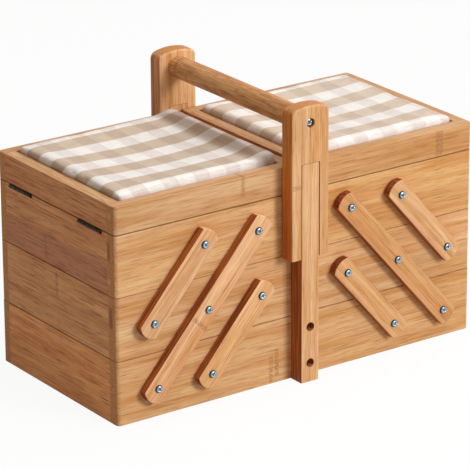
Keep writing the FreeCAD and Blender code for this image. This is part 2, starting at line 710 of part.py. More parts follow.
os.makedirs("parts", exist_ok=True)
labels = [node.Label for node in nodes]
if len(set(labels)) != len(labels):
    raise RuntimeError("two sub-parts share a label")
for node in nodes:
    shape = node.Shape
    if shape.isNull() or not shape.isValid() or not shape.Solids:
        raise RuntimeError("%s has no valid solid" % node.Label)
    shape.exportStep("parts/%s.step" % node.Label)
whole = Part.makeCompound([node.Shape for node in nodes]).optimalBoundingBox()
print("%d sub-parts, %.1f x %.1f x %.1f mm"
      % (len(nodes), whole.XLength, whole.YLength, whole.ZLength))
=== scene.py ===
import math

import bmesh
import bpy
import numpy as np
from mathutils import Matrix, Vector


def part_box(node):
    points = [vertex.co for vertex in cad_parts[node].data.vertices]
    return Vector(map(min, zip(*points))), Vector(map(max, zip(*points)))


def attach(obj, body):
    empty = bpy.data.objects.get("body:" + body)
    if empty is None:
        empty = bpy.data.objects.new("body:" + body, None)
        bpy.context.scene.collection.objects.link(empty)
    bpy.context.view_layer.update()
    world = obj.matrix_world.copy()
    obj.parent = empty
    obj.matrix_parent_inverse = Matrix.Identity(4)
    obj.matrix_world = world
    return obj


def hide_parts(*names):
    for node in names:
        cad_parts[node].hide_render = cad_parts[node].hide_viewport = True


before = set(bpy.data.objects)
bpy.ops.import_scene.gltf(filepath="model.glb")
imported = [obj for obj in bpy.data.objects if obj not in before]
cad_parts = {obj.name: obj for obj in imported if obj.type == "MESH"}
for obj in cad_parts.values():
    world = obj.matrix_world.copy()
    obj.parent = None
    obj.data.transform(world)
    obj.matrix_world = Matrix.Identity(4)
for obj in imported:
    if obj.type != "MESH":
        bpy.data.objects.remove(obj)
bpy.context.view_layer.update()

# Three-tier bamboo sewing box with swing arms, padded check lids and a carrying handle.
# The wooden pieces and the hinges are the frame's own solids with a finish; the
# cushions and the screws are modelled here in their place.

MM = 0.001

# Camera, placed like the photograph's: its angles, its distance from the box and its focal length
FRAME_PIXELS = 470
SENSOR_WIDTH = 36.0
FOCAL_PIXELS = 3236
CAMERA_YAW = math.radians(35.32)
CAMERA_PITCH = math.radians(20.36)
CAMERA_ROLL = math.radians(-0.30)
CAMERA_PLACE = Vector((-1.3917, -1.9599, 0.9849))

# Studio: where the key light stands seen from the box, and how bright each light is
BOX_MIDDLE = Vector((0.0, 0.0, 0.10))
KEY_DIRECTION = Vector((0.33, -0.87, 0.375)).normalized()
KEY_DISTANCE = 2.2
KEY_WIDTH = 0.75
KEY_SHARE = 0.62
TOP_HEIGHT = 2.0
TOP_WIDTH = 1.5
TOP_SHARE = 0.58
SKY_STRENGTH = 0.26
SKY_COLOUR = (1.0, 0.93, 0.86, 1.0)
FLOOR_SIZE = 16.0
FLOOR_GREY = 0.60
FLOOR_WHITE = 0.98
FLOOR_GLOW = 0.92

# Sizes of the wood's figure
FIBRE_WIDTH = 0.8 * MM
FIBRE_LENGTH = 20.0 * MM
STREAK_WIDTH = 1.3 * MM
STREAK_LENGTH = 46.0 * MM
SHADE_WIDTH = 6.5 * MM
SHADE_LENGTH = 120.0 * MM
KNOT_LENGTH = 2.6 * MM
DASH_LENGTH = 1.3 * MM
DASH_WIDTH = 0.8 * MM
TONE_SPREAD = 0.04
GLUE_LINE = 0.4 * MM
# Width of the painted shade in the seams between tiers
SEAM_SHADE_WIDTH = 0.55 * MM

# Cushions
CUSHION_GAP = 0.2 * MM
CUSHION_CORNER = 4.0 * MM
CUSHION_ROUND = 3.4 * MM
CUSHION_CROWN = 4.2 * MM
CUSHION_DISH = 3.4 * MM
CUSHION_DRAW_IN = 1.0 * MM
CLOTH_CELL = 3.6 * MM
CLOTH_FRAMES = 16
CLOTH_CAP = 1.6 * MM
CLOTH_PRESSURE = 1.6
CLOTH_SLACK = 0.04

# Check cloth: bands of dyed warp along X and of paler weft along Y
WARP_REPEAT = 34.3 * MM
WARP_BAND = 17.2 * MM
WEFT_REPEAT = 28.8 * MM
WEFT_BAND = 13.6 * MM
THREAD = 0.45 * MM
CLOTH_DRIFT = 4.0 * MM


def srgb(red, green, blue):
    """Linear colour of a screen colour given as three numbers up to 255."""
    values = [channel / 255 for channel in (red, green, blue)]
    return tuple(v / 12.92 if v < 0.04045 else ((v + 0.055) / 1.055) ** 2.4 for v in values) + (1.0,)


class Wire:
    """A node's output that takes part in sums; each step of a sum is a Math node."""

    def __init__(self, finish, socket):
        self.finish = finish
        self.socket = socket

    def out(self, name):
        """Another output of the same node."""
        return Wire(self.finish, self.socket.node.outputs[name])

    def __add__(self, other):
        return self.finish.math("ADD", self, other)

    def __sub__(self, other):
        return self.finish.math("SUBTRACT", self, other)

    def __rsub__(self, other):
        return self.finish.math("SUBTRACT", other, self)

    def __mul__(self, other):
        return self.finish.math("MULTIPLY", self, other)

    def __truediv__(self, other):
        return self.finish.math("DIVIDE", self, other)

    __radd__ = __add__
    __rmul__ = __mul__


class Finish:
    """A material that is built up node by node."""

    def __init__(self, name):
        self.material = bpy.data.materials.new(name)
        self.material.use_nodes = True
        self.tree = self.material.node_tree
        self.tree.nodes.clear()

    def node(self, kind, settings=None, sockets=None):
        """Add a node: its settings first, then a value or a wire for each socket."""
        made = self.tree.nodes.new("ShaderNode" + kind)
        for name, value in (settings or {}).items():
            setattr(made, name, value)
        for name, value in (sockets or {}).items():
            if isinstance(value, Wire):
                self.tree.links.new(value.socket, made.inputs[name])
            else:
                made.inputs[name].default_value = value
        return Wire(self, made.outputs[0])

    def math(self, operation, *values):
        """A Math node."""
        return self.node("Math", {"operation": operation}, dict(enumerate(values)))

    def along(self, vector, direction):
        """How far a point lies along a direction."""
        return self.node("VectorMath", {"operation": "DOT_PRODUCT"},
                         {0: vector, 1: direction}).out("Value")

    def point(self, x, y, z):
        """A vector of three numbers."""
        return self.node("CombineXYZ", None, {0: x, 1: y, 2: z})

    def noise(self, vector, detail=2.0, roughness=0.5):
        """Smooth noise from 0 to 1, with one lump to each unit of its vector."""
        return self.node("TexNoise", None, {"Vector": vector, "Scale": 1.0, "Detail": detail,
                                            "Roughness": roughness})

    def ramp(self, value, low, high, first=0.0, last=1.0):
        """Smooth step from one number to another while a value goes from low to high."""
        return self.node("MapRange", {"interpolation_type": "SMOOTHSTEP"},
                         {"Value": value, "From Min": low, "From Max": high,
                          "To Min": first, "To Max": last})

    def tint(self, share, first, last, mode="MIX"):
        """Mix two colours by a share."""
        mixed = self.node("Mix", {"data_type": "RGBA", "blend_type": mode},
                          {0: share, 6: first, 7: last})
        return Wire(self, mixed.socket.node.outputs[2])

    def bump(self, height, depth, strength=1.0):
        """Surface normal over a height from 0 to 1 of that depth."""
        return self.node("Bump", None, {"Height": height, "Distance": depth, "Strength": strength})

    def close(self, **sockets):
        """Join the shader, whose sockets are named with underscores, to the output."""
        shader = self.node("BsdfPrincipled", None,
                           {name.replace("_", " "): value for name, value in sockets.items()})
        self.node_output(shader)
        return self.material

    def node_output(self, shader):
        """Add the material's output."""
        output = self.tree.nodes.new("ShaderNodeOutputMaterial")
        self.tree.links.new(shader.socket, output.inputs["Surface"])


# Bamboo

PALE_BAMBOO = srgb(233, 190, 140)
GOLD_BAMBOO = srgb(208, 150, 90)
PINK_BAMBOO = srgb(228, 172, 136)
RED_STREAK = srgb(184, 112, 62)
DARK_FIBRE = srgb(146, 88, 48)
END_GRAIN = srgb(212, 145, 87)
END_GRAIN_DOTS = srgb(152, 92, 48)
GAP_SHADE = srgb(82, 40, 16)


class Bamboo(Finish):
    """Laminated bamboo, built up layer by layer as a colour and a height.

    The grain runs along one direction and the glued strips lie side by side across it, each
    with its own tone. Three noises stretched along the grain give fibres, streaks and broad
    shades. Lengths are u along the grain, v across the strips and w through them.
    """

    def __init__(self, name, grain, across, strip, start, seed, contrast=0.7):
        super().__init__(name)
        self.grain = Vector(grain).normalized()
        self.across = Vector(across).normalized()
        self.through = self.grain.cross(self.across)
        coordinates = self.node("TexCoord")
        place = coordinates.out("Object")
        self.facing = coordinates.out("Normal")
        self.u = self.along(place, self.grain)
        self.v = self.along(place, self.across)
        self.w = self.along(place, self.through)
        self.strip = strip
        self.cells = (self.v - start) / strip
        self.cell = self.math("FLOOR", self.cells)
        chance = self.node("TexWhiteNoise", {"noise_dimensions": "2D"},
                           {"Vector": self.point(self.cell, seed, 0.0)})
        self.drift = chance * 7.0 + seed
        self.wave = self.noise(self.point(self.u * 9.0, self.v * 40.0, self.drift), 1.0)
        self.v_bent = self.v + (self.wave - 0.5) * (2.0 * MM)

        fibre = self.stretched(FIBRE_LENGTH, FIBRE_WIDTH, 3.0)
        hair = self.stretched(FIBRE_LENGTH * 0.5, FIBRE_WIDTH * 0.6, 1.0)
        streak = self.stretched(STREAK_LENGTH, STREAK_WIDTH, 3.0)
        shade = self.stretched(SHADE_LENGTH, SHADE_WIDTH, 2.0)
        blush = self.stretched(SHADE_LENGTH * 0.4, SHADE_WIDTH * 0.4, 3.0)
        colour = self.tint(self.ramp(shade, 0.30, 0.70), PALE_BAMBOO, GOLD_BAMBOO)
        colour = self.tint(self.ramp(blush, 0.50, 0.68, 0.0, 0.45), colour, PINK_BAMBOO)
        colour = self.tint(self.ramp(streak, 0.52, 0.72, 0.0, 0.42 * contrast), colour, RED_STREAK)
        colour = self.tint(self.ramp(streak, 0.46, 0.28, 0.0, 0.45 * contrast), colour, PALE_BAMBOO)
        colour = self.tint(self.ramp(fibre, 0.53, 0.68, 0.0, 0.62 * contrast), colour, DARK_FIBRE)
        colour = self.tint(self.ramp(fibre, 0.45, 0.30, 0.0, 0.65 * contrast), colour, PALE_BAMBOO)
        self.colour = self.tint(self.ramp(hair, 0.60, 0.76, 0.0, 0.45 * contrast), colour, DARK_FIBRE)
        tone = (chance - 0.5) * (2 * TONE_SPREAD) + 1.0
        self.stain((tone, tone, tone))
        self.height = fibre * 0.6 + streak * 0.4
        self.rough = self.ramp(streak, 0.2, 0.8, 0.42, 0.54)

    def stretched(self, length, width, detail):
        """Noise with lumps of a length along the grain and a width across it."""
        place = self.point(self.u / length + self.drift, self.v_bent / width, self.w / width)
        return self.noise(place, detail)

    def faces(self, direction, low=0.60, high=0.85):
        """1 on faces square to a direction, 0 on the others."""
        return self.ramp(self.math("ABSOLUTE", self.along(self.facing, direction)), low, high)

    def stain(self, factors, share=1.0):
        """Multiply the colour by three factors where a share says so."""
        self.colour = self.tint(share, self.colour, self.point(*factors), "MULTIPLY")

    def tones(self, factors):
        """Stain the strips one by one, the lowest first."""
        for number, strip_factors in enumerate(factors):
            self.stain(strip_factors, self.math("COMPARE", self.cell, float(number), 0.1))

    def knots(self, places):
        """Bands of short dashes, each given by its middle and by how far it reaches across."""
        for u, v, reach in places:
            away = self.math("ABSOLUTE", self.u - u + (self.wave - 0.5) * (3 * MM))
            band = self.ramp(away, KNOT_LENGTH, KNOT_LENGTH * 0.4)
            band = band * self.ramp(self.math("ABSOLUTE", self.v - v), reach, reach * 0.8)
            dash = self.noise(self.point(self.u / DASH_LENGTH, self.v / DASH_WIDTH, self.w / DASH_WIDTH))
            self.colour = self.tint(band * self.ramp(dash, 0.44, 0.60, 0.12, 0.62), self.colour, DARK_FIBRE)
            self.height = self.height - band * dash * 0.5

    def glue_lines(self):
        """Faint dark lines between the strips."""
        away = self.math("ABSOLUTE", self.cells - self.math("ROUND", self.cells)) * self.strip
        self.colour = self.tint(self.ramp(away, GLUE_LINE, 0.3 * GLUE_LINE, 0.0, 0.22),
                                self.colour, DARK_FIBRE)

    def towards(self, direction):
        """1 on faces that look a direction's way, 0 on the others."""
        return self.ramp(self.along(self.facing, direction), 0.60, 0.85)

    def edges(self, first, second, share):
        """Two colours in streaks on the faces that a share picks out: edge grain, partly painted shade."""
        streaky = self.ramp(self.stretched(STREAK_LENGTH, STREAK_WIDTH * 1.4, 3.0), 0.38, 0.62)
        self.colour = self.tint(share, self.colour, self.tint(streaky, first, second))

    def end_grain(self):
        """Dotted end grain on the faces square to the grain."""
        dots = self.noise(self.point(self.u / (3 * MM), self.v / (0.9 * MM), self.w / (0.9 * MM)), 3.0, 0.7)
        ends = self.tint(self.ramp(dots, 0.45, 0.66, 0.0, 0.8), END_GRAIN, END_GRAIN_DOTS)
        share = self.faces(self.grain, 0.75, 0.95)
        self.colour = self.tint(share, self.colour, ends)
        self.rough = self.rough + share * 0.12

    def gap(self, away, strength=0.6):
        """Painted shade beside an edge, as if in the seam there, on faces along the strips, by how far away
        that edge is.
        """
        share = self.ramp(self.math("ABSOLUTE", away), SEAM_SHADE_WIDTH, 0.35 * SEAM_SHADE_WIDTH, 0.0, strength)
        share = share * self.faces(self.across, 0.95, 0.6)
        self.colour = self.tint(share, self.colour, GAP_SHADE)
        self.rough = self.rough + share * 0.5

    def patches(self, strength):
        """Broad dark patches along the grain."""
        patch = self.stretched(22 * MM, 4.5 * MM, 3.0)
        self.colour = self.tint(self.ramp(patch, 0.48, 0.66, 0.0, strength), self.colour, DARK_FIBRE)

    def end_marks(self, marks, colour):
        """Small marks on the end grain, each given by its middle and its half sizes through and across."""
        for w, v, half_w, half_v in marks:
            away = self.math("MAXIMUM", self.math("ABSOLUTE", self.w - w) / half_w,
                             self.math("ABSOLUTE", self.v - v) / half_v)
            share = self.ramp(away, 1.15, 0.7, 0.0, 0.6) * self.faces(self.grain, 0.75, 0.95)
            self.colour = self.tint(share, self.colour, colour)

    def done(self):
        """The finished material."""
        return self.close(Base_Color=self.colour, Roughness=self.rough,
                          Normal=self.bump(self.height, 0.12 * MM, 0.5), Specular_IOR_Level=0.18)


def check_cloth(name, first_band, first_square, dye_and_light, side_shade, rise_shade):
    """Woven cotton check on the cloth's own flat map, in metres.

    A band of dyed warp lies about each multiple of the warp's repeat, a band of paler weft
    about each multiple of the weft's, and single threads show as fine ribs both ways. The
    factor on the warp bands' colours is partly their dyed colour and partly painted light,
    lower on the left cushion and higher on the right. The shades are factors of painted shade
    on the side that looks to the left and on the slope towards the handle, where they paint
    its shadow; the faces that look to the front get painted shade as well.
    """
    finish = Finish(name)
    flat = finish.node("UVMap", {"uv_map": "cloth"})
    parts = finish.node("SeparateXYZ", None, {0: flat})
    drift = finish.point(parts / (38 * MM), parts.out("Y") / (38 * MM), first_square * 100)
    x = parts + (finish.noise(drift, 1.0) - 0.5) * CLOTH_DRIFT
    y = parts.out("Y") + (finish.noise(drift, 1.0) - 0.5) * CLOTH_DRIFT
    slub = finish.noise(finish.point(x / (9 * MM), y / (0.9 * MM), 0.0), 2.0)
    slub_across = finish.noise(finish.point(x / (0.9 * MM), y / (9 * MM), 4.0), 2.0)

    def band(value, first, repeat, width, wobble):
        """1 in a band that repeats, with slightly uneven edges."""
        turns = (value - first) / repeat
        away = finish.math("ABSOLUTE", turns - finish.math("ROUND", turns)) * repeat
        away = away + (wobble - 0.5) * (0.5 * MM)
        return finish.ramp(away, width / 2 + 0.5 * MM, width / 2 - 0.5 * MM)

    warp = band(y, first_band, WARP_REPEAT, WARP_BAND, slub_across)
    weft = band(x, first_square, WEFT_REPEAT, WEFT_BAND, slub)
    white = finish.tint(weft, srgb(255, 250, 244), srgb(243, 233, 226))
    dyed = finish.tint(weft, srgb(226, 203, 178), srgb(214, 190, 165))
    dyed = finish.tint(1.0, dyed, dye_and_light + (1.0,), "MULTIPLY")
    colour = finish.tint(warp, white, dyed)
    facing = finish.node("TexCoord").out("Normal")
    leftwards = finish.along(facing, (-1.0, 0.0, 0.0))
    front_painted_shade = finish.ramp(finish.along(facing, (0.0, -1.0, 0.0)), 0.3, 0.8)
    # Painted shade: the handle's shadow on the slope towards it, the side that looks to the left, and the
    # faces that look to the front.
    rise = finish.ramp(leftwards, 0.06, 0.30) * finish.ramp(x, -90 * MM, -60 * MM)
    colour = finish.tint(rise, colour, rise_shade + (1.0,), "MULTIPLY")
    colour = finish.tint(finish.ramp(leftwards, 0.25, 0.75), colour, side_shade + (1.0,), "MULTIPLY")
    colour = finish.tint(front_painted_shade, colour, (0.78, 0.76, 0.76, 1.0), "MULTIPLY")
    rib_x = finish.math("SINE", x * (2 * math.pi / THREAD))
    rib_y = finish.math("SINE", y * (2 * math.pi / THREAD))
    weave = rib_x * rib_y * 0.5 + 0.5
    cloud = finish.noise(finish.point(x / (14 * MM), y / (14 * MM), 9.0), 3.0)
    yarn = finish.ramp(slub, 0.3, 0.7, 0.93, 1.04) * finish.ramp(slub_across, 0.3, 0.7, 0.95, 1.03)
    yarn = yarn * finish.ramp(cloud, 0.3, 0.7, 0.96, 1.02) * (weave * 0.06 + 0.96)
    colour = finish.tint(1.0, colour, finish.point(yarn, yarn, yarn), "MULTIPLY")
    height = weave * 0.7 + slub * 0.3
    return finish.close(Base_Color=colour, Roughness=0.85, Sheen_Weight=0.15, Sheen_Roughness=0.5,
                        Normal=finish.bump(height, 0.10 * MM, 0.5), Specular_IOR_Level=0.2)


def lumps(finish, size):
    """Noise over an object's own space with lumps of a size."""
    place = finish.node("TexCoord").out("Object")
    scaled = finish.node("VectorMath", {"operation": "SCALE"}, {0: place, "Scale": 1 / size})
    return finish.noise(scaled, 3.0)


def zinc():
    """Bluish zinc plate, darker and rougher with painted shade where the piece's shade attribute is high:
    rim and recess.
    """
    finish = Finish("zinc_plate")
    patches = lumps(finish, 1.1 * MM)
    rim_and_recess_shade = finish.node("Attribute", {"attribute_name": "rim_and_recess_shade"}).out("Fac")
    colour = finish.tint(patches, srgb(104, 140, 166), srgb(196, 214, 224))
    # Painted shade where the shade attribute is high.
    colour = finish.tint(rim_and_recess_shade, colour, srgb(34, 42, 48))
    rough = finish.ramp(patches, 0.3, 0.7, 0.20, 0.34) + rim_and_recess_shade * 0.25
    return finish.close(Base_Color=colour, Metallic=1.0, Roughness=rough)


def bronze():
    """Dark antique bronze with brighter rubbed spots."""
    finish = Finish("antique_bronze")
    patches = lumps(finish, 1.4 * MM)
    colour = finish.tint(finish.ramp(patches, 0.46, 0.74), srgb(24, 17, 10), srgb(118, 92, 54))
    return finish.close(Base_Color=colour, Metallic=0.3, Specular_IOR_Level=0.1,
                        Roughness=finish.ramp(patches, 0.3, 0.7, 0.45, 0.65))


# Meshes

def grid_faces(rows, columns, closed=False):
    """Quads between neighbouring rows and columns of a grid of points."""
    row, column = np.meshgrid(np.arange(rows - 1), np.arange(columns - (not closed)), indexing="ij")
    following = (column + 1) % columns
    quads = (row * columns + column, row * columns + following,
             (row + 1) * columns + following, (row + 1) * columns + column)
    return np.stack(quads, axis=-1).reshape(-1, 4)


def new_piece(name, points, faces, smooth=True, marks=None):
    """Mesh object at the origin whose doubled points are merged and whose faces point outwards."""
    mesh = bpy.data.meshes.new(name)
    mesh.from_pydata(points.tolist(), [], faces.tolist())
    if marks is not None:
        mesh.attributes.new("rim_and_recess_shade", "FLOAT", "POINT").data.foreach_set("value", marks)
    build = bmesh.new()
    build.from_mesh(mesh)
    bmesh.ops.remove_doubles(build, verts=build.verts, dist=1e-6)
    bmesh.ops.dissolve_degenerate(build, edges=build.edges, dist=1e-7)
    bmesh.ops.recalc_face_normals(build, faces=build.faces)
    build.to_mesh(mesh)
    build.free()
    mesh.polygons.foreach_set("use_smooth", np.full(len(mesh.polygons), smooth))
    piece = bpy.data.objects.new(name, mesh)
    bpy.context.scene.collection.objects.link(piece)
    return piece


def separate_solids(node):
    """Boxes of a node's solids: points that share a triangle belong to one solid."""
    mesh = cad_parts[node].data
    points = np.empty(len(mesh.vertices) * 3)
    mesh.vertices.foreach_get("co", points)
    points = points.reshape(-1, 3)
    _, number = np.unique(points.round(7), axis=0, return_inverse=True)
    number = number.ravel()
    corners = np.empty(len(mesh.loops), int)
    mesh.loops.foreach_get("vertex_index", corners)
    triangles = number[corners].reshape(-1, 3)
    label = np.arange(number.max() + 1)
    settled = False
    while not settled:
        lowest = label[triangles].min(axis=1)
        lower = label.copy()
        np.minimum.at(lower, triangles.ravel(), np.repeat(lowest, 3))
        lower = lower[lower]
        settled = bool((lower == label).all())
        label = lower
    groups = label[number]
    return [(points[groups == group].min(axis=0), points[groups == group].max(axis=0))
            for group in np.unique(groups)]


# Screws

HEAD_RINGS = 16
SCREW_COLUMNS = 48
HEAD_SQUARENESS = 3.0
RECESS_DEPTH = 1.25
RECESS_REACH = 0.60
RECESS_WIDTH = 0.19
RIM_SHADE_START = 0.72


def screw(low, high, head_height, shank_radius, turn):
    """Points and faces of a pan-head screw in the box of its solid.

    The head is a superellipse of revolution less a cross recess, whose depth falls off
    towards the ends of its four wings. Below it the shank is a plain bar with a cone at its tip.
    """
    middle = (low + high) / 2
    front = middle[1] < 0
    radius = (high[0] - low[0]) / 2
    length = high[1] - low[1]
    around = np.linspace(0, 2 * np.pi, SCREW_COLUMNS, endpoint=False)
    around = around - 0.16 * np.sin(4 * around)
    share = np.sin(np.linspace(0, np.pi / 2, HEAD_RINGS))
    reach, angle = np.meshgrid(share, around, indexing="ij")
    dome = head_height * (1 - reach ** HEAD_SQUARENESS) ** (1 / HEAD_SQUARENESS)
    x = np.abs(reach * np.cos(angle))
    y = np.abs(reach * np.sin(angle))
    wing = np.clip((RECESS_WIDTH - y) / 0.07, 0, 1) * np.clip((RECESS_REACH - x) / 0.30, 0, 1)
    wing = np.maximum(wing, np.clip((RECESS_WIDTH - x) / 0.07, 0, 1)
                      * np.clip((RECESS_REACH - y) / 0.30, 0, 1))
    recess = RECESS_DEPTH * MM * wing
    tip = 2.0 * MM
    heights = [dome - recess]
    radii = [reach * radius]
    # Painted shade on the head: the attribute darkens it towards its rim, in its recess and on the first
    # ring of the shank.
    rim = np.clip((reach - RIM_SHADE_START) / (1 - RIM_SHADE_START), 0, 1)
    marks = np.zeros((HEAD_RINGS + 4, SCREW_COLUMNS))
    marks[:HEAD_RINGS] = np.maximum(rim ** 0.5, 0.75 * wing)
    marks[HEAD_RINGS] = 1.0
    for ring_radius, ring_height in ((shank_radius, 0.0), (shank_radius, head_height + tip - length),
                                     (shank_radius / 5, head_height - length), (0.0, head_height - length)):
        heights.append(np.full((1, SCREW_COLUMNS), ring_height))
        radii.append(np.full((1, SCREW_COLUMNS), ring_radius))
    height = np.concatenate(heights)
    distance = np.concatenate(radii)
    angle = np.broadcast_to(around + turn, height.shape)
    outwards = -1 if front else 1
    seat = low[1] + head_height if front else high[1] - head_height
    points = np.stack((middle[0] + distance * np.cos(angle), seat + outwards * height,
                       middle[2] + distance * np.sin(angle)), axis=-1)
    return points.reshape(-1, 3), grid_faces(*height.shape, closed=True), marks.ravel()


def screws(node, body, head_height, shank_radius, finish):
    """Detailed screws in place of a node of plain ones."""
    points = []
    faces = []
    marks = []
    count = 0
    for number, (low, high) in enumerate(separate_solids(node)):
        turn = math.radians(37 + 61 * number)
        screw_points, screw_faces, screw_shade_marks = screw(low, high, head_height, shank_radius, turn)
        points.append(screw_points)
        faces.append(screw_faces + count)
        marks.append(screw_shade_marks)
        count += len(screw_points)
    piece = new_piece(node + "_detailed", np.concatenate(points), np.concatenate(faces),
                      marks=np.concatenate(marks))
    piece.data.materials.append(finish)
    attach(piece, body)
    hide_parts(node)


# Cushions

def rounded(a, b, half_x, half_y, corner):
    """Place in a rounded rectangle of a point whose two shares go from -1 to 1.

    Outside the middle the square rings of the shares are drawn in towards rings with round
    corners, the more the nearer they are to the rim.
    """
    level = np.maximum(np.maximum(np.abs(a), np.abs(b)), 1e-9)
    x = a / level * half_x
    y = b / level * half_y
    past_x = np.maximum(np.abs(x) - (half_x - corner), 0)
    past_y = np.maximum(np.abs(y) - (half_y - corner), 0)
    past = np.hypot(past_x, past_y)
    inside = (past_x > 0) & (past_y > 0)
    shrink = np.where(inside, corner / np.maximum(past, 1e-9), 1.0)
    round_x = np.sign(x) * (np.abs(x) - past_x + past_x * shrink)
    round_y = np.sign(y) * (np.abs(y) - past_y + past_y * shrink)
    pull = level ** 5
    return a * half_x + (round_x - x) * pull * level, b * half_y + (round_y - y) * pull * level


def cushion_grid(side, lift):
    """Foam pad under its cloth, as points, their places on the flat cloth, and faces.

    A grid over the top goes on down the sides in rings, first in a quarter circle and then
    drawn in a little, and the last ring is the rim of a flat grid underneath. A place on the
    flat cloth is the place on top, carried on outwards by the length of cloth down the side.
    """
    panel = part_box(side + "_lid_panel")
    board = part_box(side + "_lid_front_board")
    low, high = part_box(side + "_lid_cushion")
    half_x = (high.x - low.x) / 2
    half_y = (high.y - low.y) / 2
    middle_x = (high.x + low.x) / 2
    bottom = panel[1].z + CUSHION_GAP
    top = board[1].z + CUSHION_CROWN
    columns = int(2 * half_x / CLOTH_CELL) + 1
    rows = int(2 * half_y / CLOTH_CELL) + 1
    b, a = np.meshgrid(np.linspace(-1, 1, rows), np.linspace(-1, 1, columns), indexing="ij")

    def layer(inset):
        """Grid that stays an inset inside the recess."""
        x, y = rounded(a, b, half_x - inset, half_y - inset, CUSHION_CORNER)
        return np.stack((x, y), axis=-1).reshape(-1, 2)

    upper = layer(CUSHION_ROUND)
    outer = layer(0.0)
    lower = layer(CUSHION_DRAW_IN)
    inwards = upper[:, 0] / half_x * (1 if side == "left" else -1)
    share = np.clip((inwards - 0.66) / 0.3, 0, 1)
    rise = lift * share ** 2 * (3 - 2 * share)
    dish = CUSHION_DISH * ((1 - a ** 2) * (1 - b ** 2)).ravel()
    height = top + rise - dish

    index = np.arange(rows * columns).reshape(rows, columns)
    rim = np.concatenate((index[0, :-1], index[:-1, -1], index[-1, :0:-1], index[:0:-1, 0]))
    outwards = outer[rim] - upper[rim]
    outwards = outwards / np.linalg.norm(outwards, axis=1, keepdims=True)
    points = [np.column_stack((upper, height))]
    flat = [upper]
    faces = [grid_faces(rows, columns)]
    previous = rim
    count = rows * columns

    turns = np.linspace(0, np.pi / 2, 5)[1:]
    wrapped = CUSHION_ROUND * np.pi / 2
    straight = top - bottom - CUSHION_ROUND
    rings = [(upper, outer, math.sin(t), CUSHION_ROUND * (1 - math.cos(t)), CUSHION_ROUND * t)
             for t in turns]
    rings += [(outer, lower, share, CUSHION_ROUND + straight * share, wrapped + straight * share)
              for share in (0.35, 0.7, 1.0)]
    for first, last, share, drop, cloth in rings:
        place = first[rim] * (1 - share) + last[rim] * share
        level = (height[rim] - drop) * (1 - drop / (top - bottom)) + (top - drop) * drop / (top - bottom)
        points.append(np.column_stack((place, level)))
        flat.append(upper[rim] + outwards * cloth)
        current = count + np.arange(len(rim))
        count += len(rim)
        faces.append(np.column_stack((previous, current, np.roll(current, -1), np.roll(previous, -1))))
        previous = current
    inside = np.setdiff1d(np.arange(rows * columns), rim)
    under = np.empty(rows * columns, int)
    under[rim] = previous
    under[inside] = count + np.arange(len(inside))
    points.append(np.column_stack((lower[inside], np.full(len(inside), bottom))))
    flat.append(lower[inside])
    faces.append(under[grid_faces(rows, columns)])
    points = np.concatenate(points)
    points[:, 0] += middle_x
    flat = np.concatenate(flat)
    flat[:, 0] += middle_x
    return points, flat, np.concatenate(faces), (low, high)


def swell(piece, held, slack, limits, seed):
    """Blow the pad up under its cloth, which has a little slack towards its rim.

    Each point moves by what the simulation gives, up to a cap, and stays between the walls
    of its recess.
    """
    mesh = piece.data
    rest = np.empty(len(mesh.vertices) * 3)
    mesh.vertices.foreach_get("co", rest)
    rest = rest.reshape(-1, 3)
    group = piece.vertex_groups.new(name="held")
    group.add(held.tolist(), 1.0, "REPLACE")
    loose = piece.vertex_groups.new(name="loose")
    chance = np.random.default_rng(seed).random(len(rest))
    for number, share in enumerate(slack * (0.7 + 0.3 * chance)):
        loose.add([number], float(share), "REPLACE")
    cloth = piece.modifiers.new("cloth", "CLOTH")
    settings = cloth.settings
    settings.quality = 8
    settings.mass = 0.25
    settings.tension_stiffness = 18
    settings.compression_stiffness = 18
    settings.shear_stiffness = 6
    settings.bending_stiffness = 0.25
    settings.tension_damping = 12
    settings.compression_damping = 12
    settings.use_pressure = True
    settings.uniform_pressure_force = CLOTH_PRESSURE
    settings.vertex_group_mass = "held"
    settings.vertex_group_shrink = "loose"
    settings.shrink_min = 0.0
    settings.shrink_max = -CLOTH_SLACK
    settings.effector_weights.gravity = 0.0
    cloth.collision_settings.use_collision = False
    scene = bpy.context.scene
    cloth.point_cache.frame_start = 1
    cloth.point_cache.frame_end = CLOTH_FRAMES
    for moment in range(1, CLOTH_FRAMES + 1):
        scene.frame_set(moment)
    blown = piece.evaluated_get(bpy.context.evaluated_depsgraph_get()).to_mesh()
    moved = np.empty(len(rest) * 3)
    blown.vertices.foreach_get("co", moved)
    piece.modifiers.remove(cloth)
    scene.frame_set(1)
    step = moved.reshape(-1, 3) - rest
    size = np.linalg.norm(step, axis=1, keepdims=True)
    step = step * np.minimum(1, CLOTH_CAP / np.maximum(size, 1e-9))
    final = rest + step
    low, high = limits
    walls = final[:, 2] < high.z
    for axis in (0, 1):
        kept = np.clip(final[:, axis], low[axis], high[axis])
        final[:, axis] = np.where(walls, kept, np.clip(final[:, axis], low[axis] - 0.5 * MM,
                                                       high[axis] + 0.5 * MM))
    final[:, 2] = np.maximum(final[:, 2], low.z)
    mesh.vertices.foreach_set("co", final.ravel())
    piece.vertex_groups.clear()


